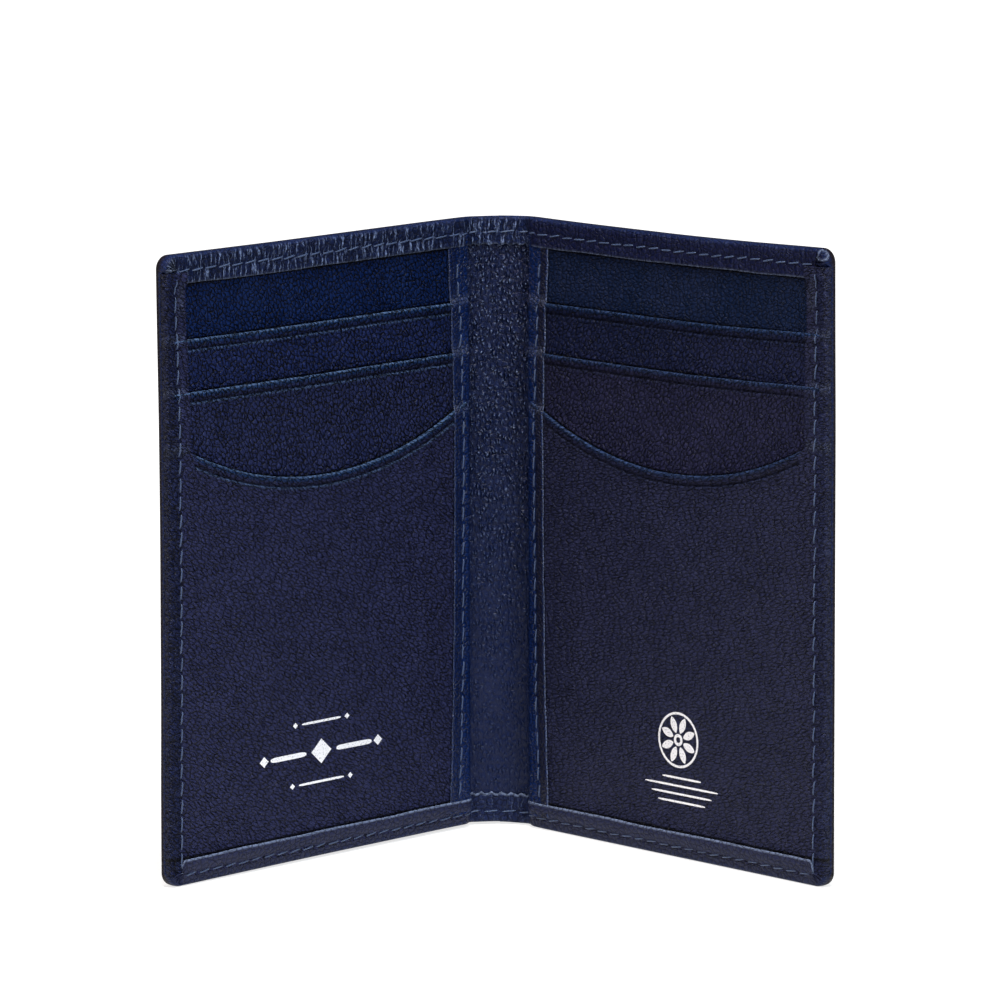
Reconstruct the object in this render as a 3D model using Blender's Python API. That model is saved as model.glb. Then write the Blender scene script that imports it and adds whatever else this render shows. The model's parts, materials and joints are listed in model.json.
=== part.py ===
"""Folding leather card holder: two stiff panels joined by a soft spine.

Lengths are millimetres, and become metres where a mesh or an object is placed.
+Z runs up the spine, +X to the right, and the holder opens towards -Y. It stands
on its bottom edges with its origin under the middle of its bounding box.

Each panel is drawn flat, in its own plane: u runs outward from the fold axis, v
runs up, and n runs from the middle of the cover leather towards the inside.
"""

import math

import bmesh
import bpy

MM = 0.001

# Driving dimensions
HEIGHT = 104.0
PANEL_WIDTH = 70.4
FOLD_SPACING = 11.56
REST_ANGLE = math.radians(46.0)
CORNER_RADIUS = 3.0

# Leather and board, from the outside of the cover inwards
SHEET_GAP = 0.15
PANEL_LAYERS = (
    ("cover", 0.60),
    ("board", 0.30),
    ("lining", 0.20),
    ("binding_back", 0.25),
    ("backing", 0.30),
    ("slot_upper", 0.25),
    ("slot_middle", 0.25),
    ("pocket_front", 0.30),
    ("hem", 0.50),
    ("thread", 0.20),
)
SPINE_LAYERS = (
    ("cover", 0.60),
    ("lining", 0.20),
    ("hem", 0.50),
    ("thread", 0.20),
)

# The cover's rim, and its edges turned over at the top and bottom
RIM_WALL = 0.60
HEM_TOP = 5.0
HEM_BOTTOM = 4.5
RIM_BEVEL = 0.25

# Room to fold: the cover stops short of its fold axis, and the pieces inside stop further out
COVER_FOLD_GAP = 0.35
FOLD_ROOM = 1.80
SPINE_INSIDE_ROOM = 0.60

# Slots and pockets, as heights above the bottom edge
SLOT_UPPER_LIP = 90.0
SLOT_UPPER_BOTTOM = 12.0
SLOT_MIDDLE_LIP = 81.4
SLOT_MIDDLE_BOTTOM = 5.0
MOUTH_END = 71.5
MOUTH_DIP = 7.0
MOUTH_STEPS = 24
SIDE_STRIP = 4.2

# Binding strip over the spine-side edge of the pockets
BINDING_WALL = 0.50
BINDING_FRONT = 3.8
BINDING_BACK = 5.0

# Stitch lines
THREAD_WIDTH = 0.60
SEAM_TOP = 2.6
SEAM_BOTTOM = 1.9
SEAM_OUTER = 1.9
SEAM_BINDING = 1.9
SEAM_END = 0.20

CORNER_STEPS = 8
CUT_MARGIN = 1.0

COLORS = {
    "cover_leather": ((0.008, 0.014, 0.050), 0.50),
    "board": ((0.30, 0.27, 0.22), 0.90),
    "lining_leather": ((0.010, 0.016, 0.048), 0.55),
    "backing_leather": ((0.007, 0.013, 0.048), 0.45),
    "slot_leather": ((0.010, 0.015, 0.050), 0.50),
    "pocket_leather": ((0.012, 0.017, 0.050), 0.52),
    "binding_leather": ((0.006, 0.016, 0.070), 0.40),
    "thread": ((0.020, 0.050, 0.160), 0.60),
}


def stacked(layers):
    """Each layer's lowest and highest n, with the cover's middle at n = 0."""
    levels = {}
    level = -layers[0][1] / 2
    for name, thickness in layers:
        levels[name] = (level, level + thickness)
        level += thickness + SHEET_GAP
    return levels


PANEL = stacked(PANEL_LAYERS)
SPINE = stacked(SPINE_LAYERS)
COVER_INSIDE = PANEL["cover"][1]
STACK_TOP = PANEL["hem"][1]
SHEET_START = FOLD_ROOM + BINDING_WALL + SHEET_GAP
SHEET_INSET = RIM_WALL + SHEET_GAP
FOLD_X = FOLD_SPACING / 2
PANEL_REACH = PANEL_WIDTH * math.sin(REST_ANGLE) + STACK_TOP * math.cos(REST_ANGLE)
FOLD_Y = (PANEL_REACH - COVER_INSIDE) / 2


def clear_scene():
    for obj in list(bpy.data.objects):
        bpy.data.objects.remove(obj, do_unlink=True)


def make_materials():
    materials = {}
    for name, (color, roughness) in COLORS.items():
        material = bpy.data.materials.new(name)
        material.use_nodes = True
        shader = material.node_tree.nodes["Principled BSDF"]
        shader.inputs["Base Color"].default_value = (*color, 1.0)
        shader.inputs["Roughness"].default_value = roughness
        shader.inputs["Metallic"].default_value = 0.0
        material.diffuse_color = (*color, 1.0)
        materials[name] = material
    return materials


def arc(center, radius, start, end, steps):
    """Points on an arc from one angle to another, in degrees, both ends included."""
    points = []
    for i in range(steps + 1):
        angle = math.radians(start + (end - start) * i / steps)
        points.append((center[0] + radius * math.cos(angle), center[1] + radius * math.sin(angle)))
    return points


def rectangle(left, bottom, right, top):
    return [(left, bottom), (right, bottom), (right, top), (left, top)]


def panel_outline(start, inset):
    """The panel's (u, v) outline, square at the fold and rounded at both outer corners."""
    radius = CORNER_RADIUS - inset
    right = PANEL_WIDTH - CORNER_RADIUS
    points = [(start, inset)]
    points += arc((right, CORNER_RADIUS), radius, -90, 0, CORNER_STEPS)
    points += arc((right, HEIGHT - CORNER_RADIUS), radius, 0, 90, CORNER_STEPS)
    points.append((start, HEIGHT - inset))
    return points


def pocket_outline():
    """The front pocket's (u, v) outline: a dipped mouth, and a strip up the outer side to the top."""
    left = FOLD_ROOM + BINDING_FRONT
    right = PANEL_WIDTH - SIDE_STRIP
    half_width = (right - left) / 2
    radius = (half_width**2 + MOUTH_DIP**2) / (2 * MOUTH_DIP)
    middle = ((left + right) / 2, MOUTH_END - MOUTH_DIP + radius)
    half_angle = math.degrees(math.asin(half_width / radius))
    points = panel_outline(SHEET_START, SHEET_INSET)[:-1]
    points.append((right, HEIGHT - SHEET_INSET))
    points += arc(middle, radius, -90 + half_angle, -90 - half_angle, MOUTH_STEPS)
    points.append((SHEET_START, MOUTH_END))
    return points


def binding_section():
    """The binding strip's (u, n) section: a U that holds the pockets' spine-side edges."""
    start = FOLD_ROOM
    wall = start + BINDING_WALL
    front = start + BINDING_FRONT
    back = start + BINDING_BACK
    back_low, back_high = PANEL["binding_back"]
    front_low, front_high = PANEL["hem"]
    return [
        (start, back_low),
        (back, back_low),
        (back, back_high),
        (wall, back_high),
        (wall, front_low),
        (front, front_low),
        (front, front_high),
        (start, front_high),
    ]


def spine_section():
    """The spine cover's (v, n) section: a back wall with its top and bottom edges turned over."""
    back, inside = SPINE["cover"]
    hem_low, hem_high = SPINE["hem"]
    return [
        (0.0, back),
        (HEIGHT, back),
        (HEIGHT, hem_high),
        (HEIGHT - HEM_TOP, hem_high),
        (HEIGHT - HEM_TOP, hem_low),
        (HEIGHT - RIM_WALL, hem_low),
        (HEIGHT - RIM_WALL, inside),
        (RIM_WALL, inside),
        (RIM_WALL, hem_low),
        (HEM_BOTTOM, hem_low),
        (HEM_BOTTOM, hem_high),
        (0.0, hem_high),
    ]


def place_uv(a, b, c):
    """An outline in (u, v), swept along n."""
    return a, b, c


def place_un(a, b, c):
    """An outline in (u, n), swept along v."""
    return a, c, b


def place_vn(a, b, c):
    """An outline in (v, n), swept along u."""
    return c, a, b


class Panel:
    """Where pieces go: an empty on a fold axis for a panel, or nothing for the spine."""

    def __init__(self, side, empty=None):
        self.side = side
        self.empty = empty

    def point(self, u, v, n):
        return (self.side * u * MM, -n * MM, v * MM)

    def put(self, obj):
        if self.empty:
            obj.parent = self.empty
        else:
            obj.location = (0.0, FOLD_Y * MM, 0.0)


def prism(name, outline, low, high, place, panel, material=None):
    """One closed solid: the outline swept from low to high, with its faces pointing out."""
    mesh = bpy.data.meshes.new(name)
    work = bmesh.new()
    bottom = [work.verts.new(panel.point(*place(a, b, low))) for a, b in outline]
    top = [work.verts.new(panel.point(*place(a, b, high))) for a, b in outline]
    work.faces.new(bottom)
    work.faces.new(top)
    count = len(outline)
    for i in range(count):
        j = (i + 1) % count
        work.faces.new((bottom[i], bottom[j], top[j], top[i]))
    bmesh.ops.recalc_face_normals(work, faces=work.faces)
    work.to_mesh(mesh)
    work.free()
    obj = bpy.data.objects.new(name, mesh)
    bpy.context.scene.collection.objects.link(obj)
    panel.put(obj)
    if material:
        mesh.materials.append(material)
    return obj


def cut(obj, outline, low, high, panel):
    """Take a prism out of an object."""
    name = f"{obj.name}_cutter_{len(obj.modifiers)}"
    cutter = prism(name, outline, low, high, place_uv, panel)
    cutter.hide_render = True
    cutter.display_type = "WIRE"
    modifier = obj.modifiers.new(name, "BOOLEAN")
    modifier.operation = "DIFFERENCE"
    modifier.object = cutter


def fold_empty(name, side):
    """The empty on a fold axis. It turns the flat panel to its rest angle."""
    empty = bpy.data.objects.new(name, None)
    empty.location = (side * FOLD_X * MM, FOLD_Y * MM, 0.0)
    empty.rotation_euler = (0.0, 0.0, -side * REST_ANGLE)
    bpy.context.scene.collection.objects.link(empty)
    return empty


def add_cover(name, panel, material):
    """Cover half: the back sheet, its rim, and the edges turned over at the top and bottom."""
    outline = panel_outline(COVER_FOLD_GAP, 0.0)
    cover = prism(name, outline, PANEL["cover"][0], STACK_TOP, place_uv, panel, material)
    bevel = cover.modifiers.new("rim_bevel", "BEVEL")
    bevel.width = RIM_BEVEL * MM
    bevel.segments = 2
    bevel.limit_method = "ANGLE"
    bevel.angle_limit = math.radians(50)
    past = STACK_TOP + CUT_MARGIN
    cavity = panel_outline(-CUT_MARGIN, RIM_WALL)
    cut(cover, cavity, COVER_INSIDE, PANEL["hem"][0], panel)
    window = rectangle(-CUT_MARGIN, HEM_BOTTOM, PANEL_WIDTH + CUT_MARGIN, HEIGHT - HEM_TOP)
    cut(cover, window, PANEL["pocket_front"][1], past, panel)
    fold_room = rectangle(-CUT_MARGIN, -CUT_MARGIN, FOLD_ROOM, HEIGHT + CUT_MARGIN)
    cut(cover, fold_room, COVER_INSIDE, past, panel)


def add_panel(side_name, panel, materials):
    """Every piece of one panel."""

    def sheet(layer, outline, material):
        low, high = PANEL[layer]
        prism(f"{layer}_{side_name}", outline, low, high, place_uv, panel, materials[material])

    sheet_right = PANEL_WIDTH - SHEET_INSET
    add_cover(f"cover_{side_name}", panel, materials["cover_leather"])
    sheet("board", panel_outline(FOLD_ROOM, SHEET_INSET), "board")
    sheet("lining", panel_outline(FOLD_ROOM, SHEET_INSET), "lining_leather")
    sheet("backing", panel_outline(SHEET_START, SHEET_INSET), "backing_leather")
    upper = rectangle(SHEET_START, SLOT_UPPER_BOTTOM, sheet_right, SLOT_UPPER_LIP)
    sheet("slot_upper", upper, "slot_leather")
    middle = rectangle(SHEET_START, SLOT_MIDDLE_BOTTOM, sheet_right, SLOT_MIDDLE_LIP)
    sheet("slot_middle", middle, "slot_leather")
    sheet("pocket_front", pocket_outline(), "pocket_leather")

    binding_low = HEM_BOTTOM + SHEET_GAP
    binding_high = HEIGHT - HEM_TOP - SHEET_GAP
    prism(
        f"binding_{side_name}",
        binding_section(),
        binding_low,
        binding_high,
        place_un,
        panel,
        materials["binding_leather"],
    )
    add_seams(side_name, panel, materials["thread"], binding_low, binding_high)


def add_seams(side_name, panel, material, window_low, window_high):
    """The stitch lines: on both hems, up the outer strip and up the binding."""
    half = THREAD_WIDTH / 2
    inner = FOLD_ROOM + SEAM_END
    outer = PANEL_WIDTH - SEAM_OUTER
    seam_u = FOLD_ROOM + SEAM_BINDING
    low, high = window_low + SEAM_END, window_high - SEAM_END
    top = HEIGHT - SEAM_TOP
    on_hem = PANEL["thread"]
    on_strip = (PANEL["hem"][0], PANEL["hem"][0] + on_hem[1] - on_hem[0])
    seams = (
        ("seam_top", rectangle(inner, top - half, outer + half, top + half), on_hem),
        (
            "seam_bottom",
            rectangle(inner, SEAM_BOTTOM - half, outer + half, SEAM_BOTTOM + half),
            on_hem,
        ),
        ("seam_side", rectangle(outer - half, low, outer + half, high), on_strip),
        ("seam_binding", rectangle(seam_u - half, low, seam_u + half, high), on_hem),
    )
    for name, outline, (thread_low, thread_high) in seams:
        prism(
            f"{name}_{side_name}",
            outline,
            thread_low,
            thread_high,
            place_uv,
            panel,
            material,
        )


def add_spine(materials):
    """The spine cover with its turned edges, the gutter lining, and the stitches across it."""
    spine = Panel(1)
    half = FOLD_X - COVER_FOLD_GAP
    inside = FOLD_X - SPINE_INSIDE_ROOM
    cover = prism(
        "cover_spine",
        spine_section(),
        -half,
        half,
        place_vn,
        spine,
        materials["cover_leather"],
    )
    past = SPINE["hem"][1] + CUT_MARGIN
    for side in (-1, 1):
        room = rectangle(
            min(side * inside, side * FOLD_X),
            -CUT_MARGIN,
            max(side * inside, side * FOLD_X),
            HEIGHT + CUT_MARGIN,
        )
        cut(cover, room, SPINE["cover"][1], past, spine)

    lining = rectangle(-inside, SHEET_INSET, inside, HEIGHT - SHEET_INSET)
    low, high = SPINE["lining"]
    prism("lining_spine", lining, low, high, place_uv, spine, materials["lining_leather"])

    low, high = SPINE["thread"]
    for name, v in (("seam_spine_top", HEIGHT - SEAM_TOP), ("seam_spine_bottom", SEAM_BOTTOM)):
        reach = inside - SEAM_END
        seam = rectangle(-reach, v - THREAD_WIDTH / 2, reach, v + THREAD_WIDTH / 2)
        prism(name, seam, low, high, place_uv, spine, materials["thread"])


def main():
    clear_scene()
    materials = make_materials()
    add_spine(materials)
    for side_name, side in (("left", -1), ("right", 1)):
        empty = fold_empty(f"{side_name}_fold", side)
        add_panel(side_name, Panel(side, empty), materials)


main()
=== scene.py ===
"""Looks of the folding leather card holder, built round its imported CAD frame.

Lengths are millimetres until a mesh is made. Each half of the holder is drawn flat: u runs
outward from its fold axis, v runs up, and n runs from the middle of the cover leather
towards the inside. side is -1 for the left half and +1 for the right.
"""

import json
from math import atan2, ceil, cos, floor, pi, radians, sin, sqrt, tan
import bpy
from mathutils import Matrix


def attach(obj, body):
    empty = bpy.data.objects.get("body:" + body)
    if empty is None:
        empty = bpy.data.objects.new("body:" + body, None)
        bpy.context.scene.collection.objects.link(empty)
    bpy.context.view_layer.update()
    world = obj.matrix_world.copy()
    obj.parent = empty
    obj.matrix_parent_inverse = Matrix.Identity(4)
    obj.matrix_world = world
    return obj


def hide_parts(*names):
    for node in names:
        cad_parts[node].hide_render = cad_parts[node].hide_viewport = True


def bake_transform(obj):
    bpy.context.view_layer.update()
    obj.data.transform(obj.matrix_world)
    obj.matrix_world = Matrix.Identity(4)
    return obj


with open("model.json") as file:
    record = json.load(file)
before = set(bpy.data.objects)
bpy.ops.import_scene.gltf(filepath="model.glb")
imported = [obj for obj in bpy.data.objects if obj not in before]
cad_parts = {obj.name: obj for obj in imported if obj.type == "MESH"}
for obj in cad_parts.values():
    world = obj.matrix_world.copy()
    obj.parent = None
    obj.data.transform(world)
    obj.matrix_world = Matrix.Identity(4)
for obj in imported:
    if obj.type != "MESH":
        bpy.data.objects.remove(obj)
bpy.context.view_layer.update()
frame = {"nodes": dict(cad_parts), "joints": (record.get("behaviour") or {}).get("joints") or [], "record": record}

from types import SimpleNamespace

import bpy
import numpy as np
from mathutils import Matrix, Vector

MM = 0.001
SIDES = {"left": -1, "right": 1}

# ------ sizes from the frame

JOINTS = {joint["name"]: joint for joint in frame["joints"]}
MOUNTS = {mount["name"]: mount for mount in frame["record"]["mounts"]}
FOLD_X = JOINTS["right_fold"]["pos_m"][0] / MM
FOLD_Y = JOINTS["right_fold"]["pos_m"][1] / MM
REST = atan2(*MOUNTS["cover_face_right"]["axis"][:2])
SIN, COS = sin(REST), cos(REST)


def node_box(node):
    """The lowest and highest (u, n, v) of a CAD node on the right half."""
    points = np.array([vertex.co for vertex in frame["nodes"][node].data.vertices]) / MM
    x, y = points[:, 0] - FOLD_X, points[:, 1] - FOLD_Y
    local = np.stack([x * COS - y * SIN, -x * SIN - y * COS, points[:, 2]], 1)
    return local.min(0), local.max(0)


CAD_WIDTH, _, HEIGHT = node_box("cover_right")[1]
WIDTH = CAD_WIDTH + 0.45
LIP_UPPER = node_box("slot_upper_right")[1][2]
LIP_MIDDLE = node_box("slot_middle_right")[1][2]
SEAM_TOP = np.mean([corner[2] for corner in node_box("seam_top_right")])
SEAM_BOTTOM = np.mean([corner[2] for corner in node_box("seam_bottom_right")])
SEAM_SIDE = np.mean([corner[0] for corner in node_box("seam_side_right")])
BACK = node_box("cover_right")[0][1]

# ------ sizes of the leather

CORNER = 2.3
STRIP_U = CAD_WIDTH - 4.2
STRIP = WIDTH - STRIP_U
CORNER_U = WIDTH - CORNER
CORNER_STEPS = 10
RAW_EDGE_TOP = 4.8
RAW_EDGE_BOTTOM = 4.5
RIM_TURNED = 2.20
RIM_STRIP = 2.25
RIM_BACK_ROUND = 0.45
RIM_FRONT_ROUND = 0.50
COVER_THICK = 0.55
HEM_THICK = 0.50
SPINE_HEM = 1.10
LINING_SPINE = 0.62
LINING_PANEL = 1.02
LEVEL = {"backing": 1.60, "slot_upper": 1.90, "slot_middle": 2.20, "pocket_front": 2.50}
THICK = {"backing": 0.30, "slot_upper": 0.25, "slot_middle": 0.25, "pocket_front": 0.25}
MOUTH_START = 5.6
MOUTH_END = 71.5
MOUTH_DIP = 7.0
MOUTH_HALF, MOUTH_MIDDLE = (STRIP_U - MOUTH_START) / 2, (STRIP_U + MOUTH_START) / 2
MOUTH_RADIUS = (MOUTH_HALF**2 + MOUTH_DIP**2) / (2 * MOUTH_DIP)
BINDING_THICK = 0.45
BINDING_LEATHER = 0.26
BINDING_BACK = 1.10
BINDING_RAW = ((4.0, 6.6), (22.0, 5.9), (45.0, 5.5), (73.0, 5.3), (90.0, 5.4), (100.0, 5.9))
BINDING_SEAM = ((4.0, 4.6), (22.0, 3.7), (73.0, 3.2), (88.0, 3.4), (100.0, 3.9))
BINDING_GUTTER = -0.80
BINDING_SHIFT = 0.7
# where the hem is cut back for the corner, and how far its last two rows drop: {share: mm}
HEM_CUT = CAD_WIDTH - 2.0
RAW_DROP = {0.98: 0.05, 1.0: 0.16}
# the cover's edge under the strip: (share of the rows, inset or level)
SIDE_INSETS = (
    *((0.0, 0.53), (0.18, 0.0), (0.26, 0.0), (0.30, 0.03), (0.34, 0.36)),
    *((0.42, 0.38), (0.50, 0.42), (0.60, 0.55), (0.70, 0.80), (1.0, 1.25)),
)
SIDE_LEVELS = (
    *((0.0, BACK + 0.02), (0.10, BACK + 0.28), (0.18, 0.38), (0.26, 0.80), (0.30, 0.92), (0.34, 0.95)),
    *((0.42, 1.30), (0.50, 1.62), (0.60, 1.80), (0.70, 1.88), (1.0, 1.90)),
)
FOLD_ARC = 1.30
FOLD_RADIUS = FOLD_ARC / tan(REST / 2)
BLEND_REACH = 2.6
SPINE_BOW = 0.8
STITCH_PITCH = 2.95
STITCH_LENGTH = 2.62
THREAD_RADIUS = 0.13
THREAD_SIDES = 8
GATHER_PITCH = 1.75
FINE_GATHER_PITCH = 0.83
PUCKER_PITCH = 0.62
SHEET_U = (2.6, WIDTH - 1.4)
SHEET_BOTTOM = 1.4
LEFT_ORNAMENT = (36.8, 17.9)
RIGHT_ORNAMENT = (37.4, 20.0)
# how far the edges stand above the flat shape: (u, mm)
TOP_RISE = {
    -1: ((-5.8, 0.70), (0, 0.62), (5, 0.62), (15, 0.52), (27, 0.38), (36, 0.28), (47, 0.17), (70, 0.05)),
    1: ((-5.8, 0.70), (0, 0.72), (5, 0.63), (14, 0.55), (36, 0.50), (50, 0.62), (60, 0.85), (70, 1.05)),
}
BOTTOM_RISE = {
    -1: ((-5.8, 0.40), (0, 0.42), (5, 0.46), (20, 0.42), (36, 0.36), (50, 0.24), (62, 0.12), (70, 0.02)),
    1: ((-5.8, 0.40), (-2, 0.22), (1, 0.03), (70, 0.0)),
}
# how far the outer edge stands in from the flat shape: (v, mm)
SIDE_BOW = {
    -1: ((0, 0.0), (14, 0.05), (30, 0.30), (60, 0.48), (77, 0.44), (92, 0.24), (104, 0.12)),
    1: ((0, -0.14), (40, -0.06), (75, 0.0), (90, 0.18), (104, 0.32)),
}

# ------ helpers


def smooth(t):
    t = np.clip(t, 0.0, 1.0)
    return t * t * (3.0 - 2.0 * t)


def lerp(a, b, t):
    return a + (b - a) * t


def joined(*parts):
    return np.concatenate(parts)


def unit(vectors):
    return vectors / np.linalg.norm(vectors, axis=1, keepdims=True)


def peak(x, centre, width):
    return np.exp(-(((x - centre) / width) ** 2))


def along(table, v):
    """A value read from (v, value) pairs, with rounded changes between them."""
    at, value = np.array(table).T
    fine = np.linspace(at[0], at[-1], 200)
    line = np.interp(fine, at, value)
    line = np.convolve(np.pad(line, 12, "edge"), np.full(25, 0.04), "valid")
    return np.interp(v, fine, line)


def noise(x, y, seed):
    """Smooth noise from -1 to 1, with one change about every unit."""
    lattice = np.random.default_rng(seed).uniform(-1, 1, (128, 128))
    left, low = np.floor(x).astype(int), np.floor(y).astype(int)
    s, t = smooth(x - left), smooth(y - low)

    def at(i, j):
        return lattice[(left + i) % 128, (low + j) % 128]

    return lerp(lerp(at(0, 0), at(1, 0), s), lerp(at(0, 1), at(1, 1), s), t)


def place(side, u, n, v):
    """World points in metres. The sheet turns round the fold in an arc, and the spine bows back."""
    u, n, v = np.broadcast_arrays(*(np.asarray(value, float) for value in (u, n, v)))
    u = u - along(SIDE_BOW[side], v) * smooth(u / WIDTH)
    turn = REST * np.clip((u + FOLD_ARC) / (2 * FOLD_ARC), 0, 1)
    before = np.minimum(u + FOLD_ARC, 0)
    past = np.maximum(u - FOLD_ARC, 0)
    x = FOLD_X - FOLD_ARC + before + FOLD_RADIUS * np.sin(turn) + past * COS
    depth = FOLD_RADIUS * (1 - np.cos(turn)) + past * SIN
    share = np.clip((FOLD_X + u) / FOLD_X, 0, 1)
    depth = depth - SPINE_BOW * (1 - share**2) ** 2
    x, depth = x - n * np.sin(turn), depth + n * np.cos(turn)
    height = v + lerp(along(BOTTOM_RISE[side], u), along(TOP_RISE[side], u), v / HEIGHT)
    return np.stack([side * x, FOLD_Y - depth, height], -1) * MM


def numbered(shape, start=0):
    """A grid of point numbers."""
    return start + np.arange(np.prod(shape)).reshape(shape)


def quads(index):
    """Faces of an index grid. They look at the viewer where rows run down and columns right."""
    return np.stack(
        [index[:-1, :-1], index[1:, :-1], index[1:, 1:], index[:-1, 1:]], -1
    ).reshape(-1, 4)


def border_edges(faces):
    """The directed edges that only one face uses."""
    start = faces.ravel()
    end = np.roll(faces, -1, 1).ravel()
    size = start.max() + 1
    forward, backward = start * size + end, end * size + start
    single = ~np.isin(forward, backward)
    return start[single], end[single]


def link(name, data):
    obj = bpy.data.objects.new(name, data)
    bpy.context.scene.collection.objects.link(obj)
    return obj


def smooth_mesh(name, points, faces, flat):
    """A mesh with its flat coordinates, one (u, v) for each point."""
    mesh = bpy.data.meshes.new(name)
    mesh.from_pydata(points.tolist(), [], faces)
    corner = np.zeros(len(mesh.loops), int)
    mesh.loops.foreach_get("vertex_index", corner)
    layer = mesh.uv_layers.new(name="flat")
    layer.data.foreach_set("uv", flat[corner].astype(np.float32).ravel())
    mesh.shade_smooth()
    return mesh


def solid(name, side, front, back, faces, uv, marks=None):
    """One closed piece of leather: its front, its back, and a wall round every border."""
    count = len(front)
    faces = faces if side > 0 else faces[:, ::-1]
    flat = np.stack([side * (FOLD_X + uv[:, 0]), uv[:, 1]], 1)
    start, end = border_edges(faces)
    wall = np.stack([end, start, start + count, end + count], 1)
    corners = joined(faces, faces[:, ::-1] + count, wall).tolist()
    mesh = smooth_mesh(name, joined(front, back), corners, np.tile(flat, (2, 1)))
    for mark, values in (marks or {}).items():
        attribute = mesh.attributes.new(mark, "FLOAT", "POINT")
        attribute.data.foreach_set("value", np.tile(values, 2).astype(np.float32))
    mesh.set_sharp_from_angle(angle=radians(48))
    return link(name, mesh)


def sheet(name, side, u, v, front, back, marks=None):
    """A solid from grids of the flat position and of the front and back levels."""
    points = [place(side, u, level, v).reshape(-1, 3) for level in (front, back)]
    uv = np.stack([u, v], -1).reshape(-1, 2)
    return solid(name, side, *points, quads(numbered(u.shape)), uv, marks)


def finish_piece(obj, half, material, nodes, bends=False):
    """Gives a piece its material and its body, and hides the CAD nodes that it replaces. A piece that bends is
    only baked in place, with no body.
    """
    obj.data.materials.append(material)
    if bends:
        start, end = (place(SIDES[half], u, 0, 0) for u in (-BLEND_REACH, BLEND_REACH))
        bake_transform(obj)
    else:
        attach(obj, f"{half}_panel")
    if nodes:
        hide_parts(*nodes)


# ------ levels of the layers


def wave(u, v):
    """The slight unevenness that all the sheets of a panel share."""
    return 0.025 * noise(u / 8 + 3, v / 8 + 5, 11) + 0.008 * noise(u / 2.6, v / 2.6, 12)


def mouth(u):
    """Height of the front pocket's mouth: an arc, with a straight run-out on the spine side."""
    reach = np.clip(u, MOUTH_START, STRIP_U) - MOUTH_MIDDLE
    slope = MOUTH_HALF / sqrt(MOUTH_RADIUS**2 - MOUTH_HALF**2)
    arc = MOUTH_END - MOUTH_DIP + MOUTH_RADIUS - np.sqrt(MOUTH_RADIUS**2 - reach**2)
    return arc + slope * np.maximum(MOUTH_START - u, 0)


def stack(v, mouth_height=None, run=0.9, bump=0.16):
    """Top of the sheets at a height, rounded over each lip. The pocket counts if its mouth is given."""
    level = LEVEL["backing"] + 0 * v
    lips = [("slot_upper", LIP_UPPER), ("slot_middle", LIP_MIDDLE)]
    if mouth_height is not None:
        lips.append(("pocket_front", mouth_height))
    below = LEVEL["backing"]
    for layer, lip in lips:
        level = level + (LEVEL[layer] - below) * smooth((lip - v) / run + 0.5)
        level = level + bump * peak(v, lip - 0.45, 0.55)
        below = LEVEL[layer]
    return level


def scuff(v):
    """Where a seam crosses a lip, the leather over it is lumpy and rubbed."""
    return sum(peak(v, lip, 0.75) for lip in (LIP_UPPER + 0.3, LIP_MIDDLE + 0.3, MOUTH_END + 0.6))


def stitch_dip(across, run):
    """How far a seam pulls the leather in, with a deeper dimple at each needle hole."""
    beat = np.cos(2 * pi * run / STITCH_PITCH)
    hole = beat**8 * (beat > 0)
    return -0.07 * peak(across, 0, 0.55) - 0.12 * hole * peak(across, 0, 0.40)


def on_panel(u):
    """0 over the spine and 1 over the panel."""
    return smooth((u + 1.2) / 3.6)


def rim_level(u):
    return lerp(SPINE_HEM, RIM_TURNED, on_panel(u))


def hem_level(u, top, inset):
    """Level of the turned-over hem, which lies on the sheets and on the binding's end."""
    under = np.where(top, LEVEL["backing"], LEVEL["pocket_front"])
    hem = lerp(SPINE_HEM, under + HEM_THICK + 0.18 * peak(u, 3.4, 2.0), on_panel(u))
    return lerp(rim_level(u), hem, smooth((inset - RIM_FRONT_ROUND) / 3.2))


def strip_level(v, inset, over_hem=0.0, over_foot=0.0):
    """Level of the outer strip, from the rim up to the sheets and the hem that it covers."""
    on_hem = smooth((v - 98.6) / 0.8)
    under = lerp(stack(v), LEVEL["backing"] + HEM_THICK, on_hem)
    cover = under + over_foot + 0.30 + over_hem * on_hem
    return lerp(RIM_STRIP, cover, smooth((inset - RIM_FRONT_ROUND) / 2.6))


# ------ the cover


def steps(start, end, spacing):
    return np.linspace(start, end, max(2, round((end - start) / spacing) + 1))


def corner_block(inset):
    """A grid from a square's two inner sides to the rounded outer corner: (u, v) past the arc's centre."""
    radius = CORNER - inset
    t = np.linspace(0, 1, CORNER_STEPS + 1)
    low = radius * np.stack([np.sin(t * pi / 4), -np.cos(t * pi / 4)], 1)
    right = -low[::-1, ::-1]
    left = np.stack([0 * t, -radius * (1 - t)], 1)
    top = np.stack([radius * t, 0 * t], 1)
    a, b = t[None, :, None], t[:, None, None]
    edges = lerp(low[None], top[None], b) + lerp(left[:, None], right[:, None], a)
    return edges - lerp(lerp(low[0], low[-1], a), lerp(top[0], top[-1], a), b)


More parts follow.
